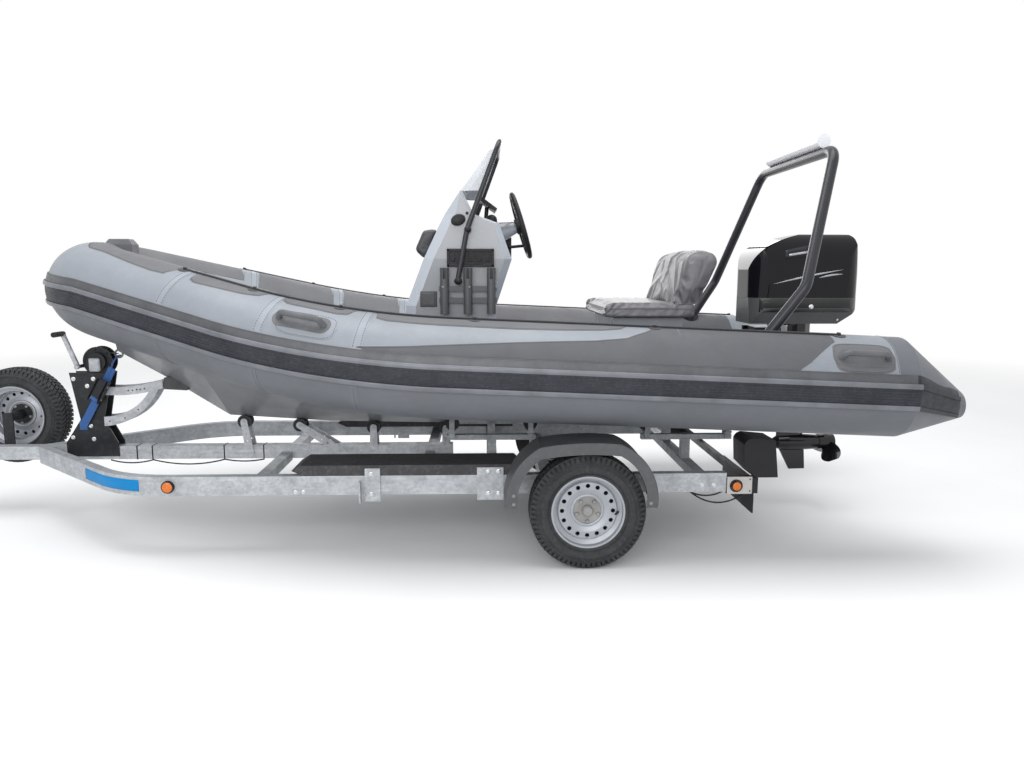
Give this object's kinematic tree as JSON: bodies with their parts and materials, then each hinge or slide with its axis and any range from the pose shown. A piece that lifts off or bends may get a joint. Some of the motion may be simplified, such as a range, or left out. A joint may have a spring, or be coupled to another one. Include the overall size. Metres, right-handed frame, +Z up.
{
  "type": "inflatable rib boat on a road trailer",
  "caption": "Rigid inflatable boat with console, seat, arch and outboard engine, strapped on a galvanised road trailer with rollers, winch post and jockey wheel.",
  "frame": {"origin": "on the ground, under the middle of the outfit's overall box", "axes": "+X forward to the bow and coupling, +Y to port, +Z up"},
  "size_m": [6.086, 2.1736, 2.2023],
  "materials": {
    "arch_black": "powder coated",
    "black_steel": "powder coated black",
    "board_black": "blank",
    "collar_fabric": "coated fabric",
    "console_grp": "gel coat",
    "galvanised": "hot-dip galvanised",
    "guard_plastic": "moulded, grained",
    "handle_grey": "moulded",
    "holder_plastic": "moulded",
    "hull_grp": "gel coat over a foam core, light as a whole",
    "lamp_case": "lamp with amber and red lenses",
    "lamp_white": "white tube",
    "motor_black": "gloss black",
    "motor_metal": "painted black",
    "propeller_metal": "painted black",
    "roller_grey": "plain",
    "rope_black": "braided",
    "rubber": "plain",
    "screen": "tinted",
    "seat_vinyl": "vinyl",
    "strake_rubber": "ribbed",
    "strap_blue": "webbing",
    "tyre": "plain",
    "walkway_black": "ribbed",
    "wheel_silver": "silver paint"
  },
  "bodies": {
    "boat_and_trailer": {"arch_lamp": "lamp_white", "axle": "galvanised", "bench_backrest": "seat_vinyl", "bench_base": "console_grp", "bench_seat": "seat_vinyl", "boat_rollers": "roller_grey", "bow_cleat": "rubber", "bow_snubber": "rubber", "bow_strap": "strap_blue", "clamp_bracket": "motor_metal", "collar_bow": "collar_fabric", "collar_port_aft": "collar_fabric", "collar_port_fore": "collar_fabric", "collar_starboard_aft": "collar_fabric", "collar_starboard_fore": "collar_fabric", "console": "console_grp", "console_cushion": "seat_vinyl", "coupling_head": "galvanised", "cross_members": "galvanised", "dash_fittings": "walkway_black", "drawbar": "galvanised", "grab_handles": "handle_grey", "hull": "hull_grp", "jockey_leg": "galvanised", "keel_roller_stands": "galvanised", "lifelines": "rope_black", "mudguards": "guard_plastic", "plate_board": "board_black", "rail_brackets": "galvanised", "rod_holders": "holder_plastic", "roll_arch": "arch_black", "rub_strake": "strake_rubber", "screen_rail": "arch_black", "side_cradles": "galvanised", "side_pocket": "walkway_black", "side_rail_port": "galvanised", "side_rail_starboard": "galvanised", "snubber_arms": "galvanised", "spare_carrier": "black_steel", "spare_rim": "wheel_silver", "spare_tyre": "tyre", "trailer_lamps": "lamp_case", "walkways": "walkway_black", "winch": "black_steel", "winch_post": "black_steel", "windscreen": "screen"},
    "wheel_port": {"tyre_port": "tyre", "rim_port": "wheel_silver", "hub_port": "black_steel"},
    "wheel_starboard": {"tyre_starboard": "tyre", "rim_starboard": "wheel_silver", "hub_starboard": "black_steel"},
    "jockey_swivel": {"jockey_fork": "galvanised"},
    "jockey_roller": {"jockey_wheel": "rubber"},
    "engine_bracket": {"swivel_bracket": "motor_metal"},
    "engine": {"motor_leg": "motor_metal", "motor_cowl": "motor_black", "motor_apron": "motor_metal"},
    "propeller": {"propeller": "propeller_metal"},
    "helm": {"helm_wheel": "rubber"}
  },
  "joints": [
    {"name": "wheel_port_spin", "type": "hinge", "parent": "boat_and_trailer", "child": "wheel_port", "pos_m": [-1.14, 0.89, 0.2915], "axis": [0, 1, 0], "continuous": true},
    {"name": "wheel_starboard_spin", "type": "hinge", "parent": "boat_and_trailer", "child": "wheel_starboard", "pos_m": [-1.14, -0.89, 0.2915], "axis": [0, 1, 0], "continuous": true},
    {"name": "jockey_turn", "type": "hinge", "parent": "boat_and_trailer", "child": "jockey_swivel", "pos_m": [2.61, 0.071, 0.25], "axis": [0, 0, 1], "continuous": true},
    {"name": "jockey_spin", "type": "hinge", "parent": "jockey_swivel", "child": "jockey_roller", "pos_m": [2.565, 0.071, 0.1], "axis": [0, 1, 0], "continuous": true},
    {"name": "outboard_tilt", "type": "hinge", "parent": "boat_and_trailer", "child": "engine_bracket", "pos_m": [-2.262, 0, 1.112], "axis": [0, 1, 0], "range_deg": [-4, 38]},
    {"name": "outboard_steer", "type": "hinge", "parent": "engine_bracket", "child": "engine", "pos_m": [-2.385, 0, 0.95], "axis": [0, 0, 1], "range_deg": [-30, 30]},
    {"name": "propeller_spin", "type": "hinge", "parent": "engine", "child": "propeller", "pos_m": [-2.74, 0, 0.425], "axis": [1, 0, 0], "continuous": true},
    {"name": "helm_turn", "type": "hinge", "parent": "boat_and_trailer", "child": "helm", "pos_m": [-0.845, 0, 1.733], "axis": [0.9563, 0, -0.2924], "range_deg": [-720, 720]}
  ],
  "couplings": [
    {"joint": "helm_turn", "follows": "outboard_steer", "ratio": 24}
  ]
}
